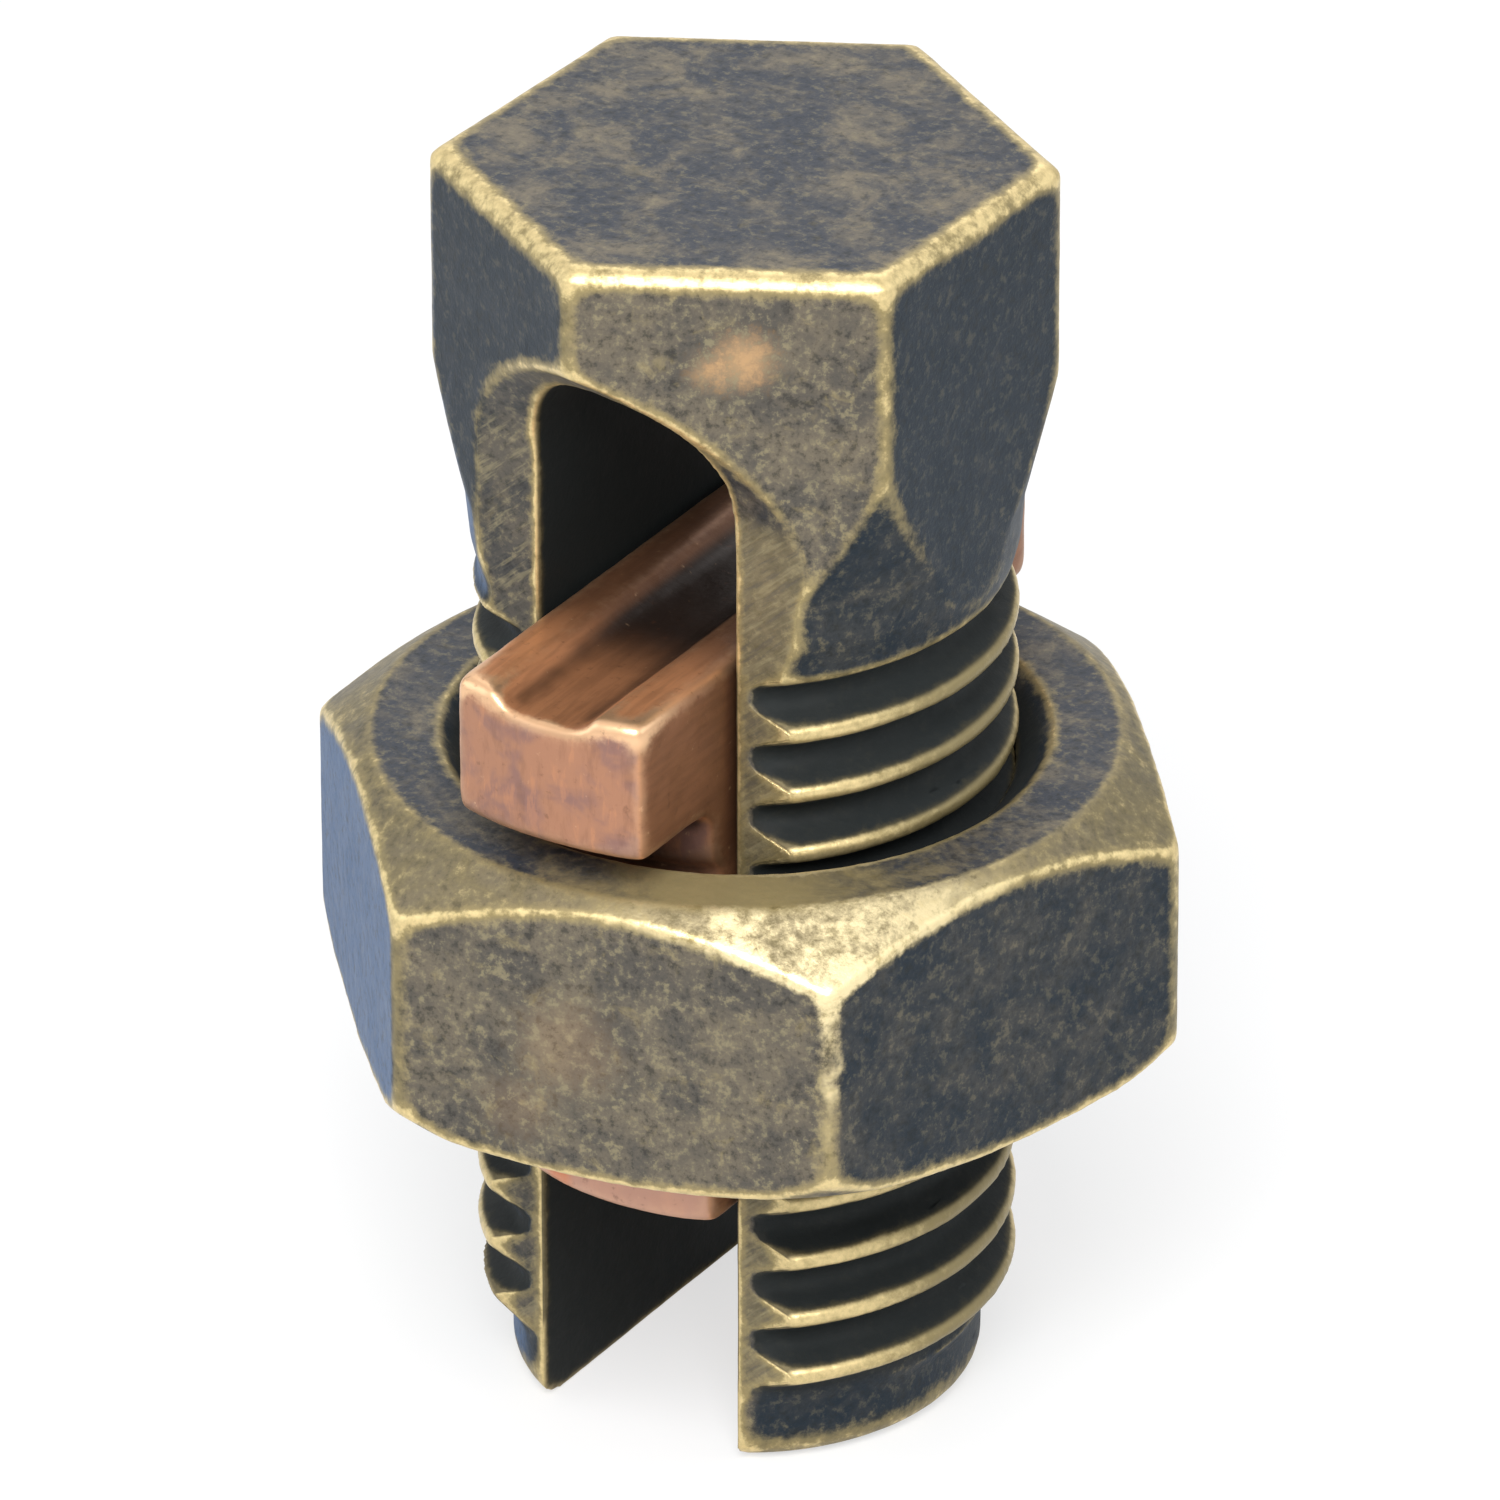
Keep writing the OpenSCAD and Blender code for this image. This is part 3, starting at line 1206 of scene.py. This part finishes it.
@dataclass
class Studio:
    """Floor, backdrop, lamps and camera. Angles are in degrees, lengths in metres."""

    azimuth: float = 32.03
    elevation: float = 28.37
    distance: float = 0.495
    aim_height: float = 0.02076
    aim_right: float = 0.000116
    lens: float = 394.4
    sensor: float = 36.0
    clip: tuple[float, float] = (0.02, 20.0)
    roll: float = -0.1
    world_level: float = 0.42
    floor_half: float = 3.0
    floor_grey: Colour = (0.88, 0.88, 0.88)
    floor_glow: float = 0.62
    lamps: tuple[Lamp, ...] = (
        Lamp("key", 26.0, 46.0, 0.5, 0.26, 3.0),
        Lamp("fill_left", -62.0, 25.0, 0.55, 0.4, 0.6, (0.84, 0.92, 1.0)),
        Lamp("fill_right", 118.0, 30.0, 0.55, 0.4, 0.5, (0.84, 0.92, 1.0)),
        Lamp("back", 205.0, 50.0, 0.6, 0.4, 0.8),
    )

    def _towards(self, azimuth: float, elevation: float) -> Vector:
        """Give the direction at an azimuth from -Y towards +X, and an elevation."""
        a, e = math.radians(azimuth), math.radians(elevation)
        return Vector((math.sin(a) * math.cos(e), -math.cos(a) * math.cos(e), math.sin(e)))

    def camera(self) -> None:
        """Set the camera up."""
        data = bpy.data.cameras.new("camera")
        data.lens, data.sensor_width = self.lens, self.sensor
        data.clip_start, data.clip_end = self.clip
        thing = stand("camera", data)
        a = math.radians(self.azimuth)
        aim = (Vector((math.cos(a), math.sin(a), 0.0)) * self.aim_right
               + Vector((0, 0, self.aim_height)))
        away = self._towards(self.azimuth, self.elevation)
        thing.location = aim + away * self.distance
        thing.rotation_euler = ((-away).to_track_quat("-Z", "Y").to_matrix()
                                @ Matrix.Rotation(math.radians(self.roll), 3, "Z")).to_euler()
        bpy.context.scene.camera = thing

    def floor(self) -> None:
        """Lay a plain pale floor that keeps the shadow."""
        shape = bmesh.new()
        bmesh.ops.create_grid(shape, x_segments=4, y_segments=4, size=self.floor_half)
        thing = stand("floor", mesh_of("floor", shape))
        bench = Bench(bpy.data.materials.new("floor_paint"))
        paint = bench.node("ShaderNodeBsdfDiffuse", None, {"Color": self.floor_grey})
        glow = bench.node("ShaderNodeEmission", None, {"Color": WHITE, "Strength": 1.0})
        seen = bench.node("ShaderNodeLightPath", output="Is Camera Ray") * self.floor_glow
        shader = bench.node("ShaderNodeMixShader", None, {0: seen, 1: paint, 2: glow})
        bench.node("ShaderNodeOutputMaterial", None, {"Surface": shader})
        thing.data.materials.append(bench.owner)
        thing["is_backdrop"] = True

    def light(self) -> None:
        """Set the world and the lamps up."""
        world = bpy.data.worlds.new("studio")
        bpy.context.scene.world = world
        bench = Bench(world)
        path = bench.node("ShaderNodeLightPath", output="Is Camera Ray")
        for ray in ("Is Glossy Ray", "Is Transmission Ray"):
            path = bench.most(path, bench.node("ShaderNodeLightPath", output=ray))
        level = bench.node("ShaderNodeMapRange", None,
                           {"Value": path, "To Min": self.world_level, "To Max": 1.0}, "Result")
        sky = bench.node("ShaderNodeBackground", None, {"Color": WHITE, "Strength": level})
        bench.node("ShaderNodeOutputWorld", None, {"Surface": sky})
        for lamp in self.lamps:
            data = bpy.data.lights.new(lamp.name, "AREA")
            data.shape = "SQUARE"
            data.size, data.energy, data.color = lamp.size, lamp.power, lamp.colour
            thing = stand(lamp.name, data)
            away = self._towards(lamp.azimuth, lamp.elevation)
            thing.location = away * lamp.distance + Vector((0, 0, self.aim_height))
            thing.rotation_euler = (-away).to_track_quat("-Z", "Y").to_euler()
        bpy.context.scene.view_settings.view_transform = "Standard"

    def build(self) -> None:
        """Set everything up."""
        self.camera()
        self.floor()
        self.light()


def place_piece(thing: bpy.types.Object, material: bpy.types.Material, node: str,
                body: str) -> None:
    """Dress a finished piece and tie it to the frame.

    Args:
        thing: The piece.
        material: Its material.
        node: The solid that it stands for.
        body: The body that it rides on.
    """
    thing.data.materials.clear()  # the Boolean modifiers leave empty slots
    thing.data.materials.append(material)
    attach(thing, body)
    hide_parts(node)
    log.info("placed %s on %s", thing.name, body)


def main() -> None:
    """Build the whole scene."""
    logging.basicConfig(level=logging.INFO, format="%(name)s: %(message)s")
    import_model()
    solid_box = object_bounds()
    Studio().build()

    bolt = SplitBolt()
    place_piece(bolt.build(), bolt.dress(PatinaFinish("bolt_bronze", patches=(
        Patch((4.0, -6.4, 38.1), 1.5, 0.85), Patch((3.1, -6.9, 37.7), 1.1, 0.6)))),
        "split_bolt", "bolt")
    nut = HexNut()
    place_piece(nut.build(), nut.dress(PatinaFinish("nut_bronze_patina", patches=(
        Patch((1.2, -11.9, 16.6), 2.2, 0.14), Patch((-0.5, -11.9, 14.2), 1.6, 0.12)),
        shine=Patch((8.3, -9.2, 20.7), 8.5, 0.9), glow=Patch((5.0, -8.6, 21.6), 6.5, 0.75))),
        "hex_nut", "nut")
    bar = PressureBar()
    place_piece(bar.build(), bar.dress(CopperFinish()), "pressure_bar", "bar")

    def plain(box: Sequence[Sequence[float]]) -> list[list[float]]:
        """Turn a box into plain lists of numbers."""
        return [[float(n) for n in corner] for corner in box]

    {"solid": plain(solid_box), "visual": plain(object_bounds())}


if __name__ == "__main__":
    main()
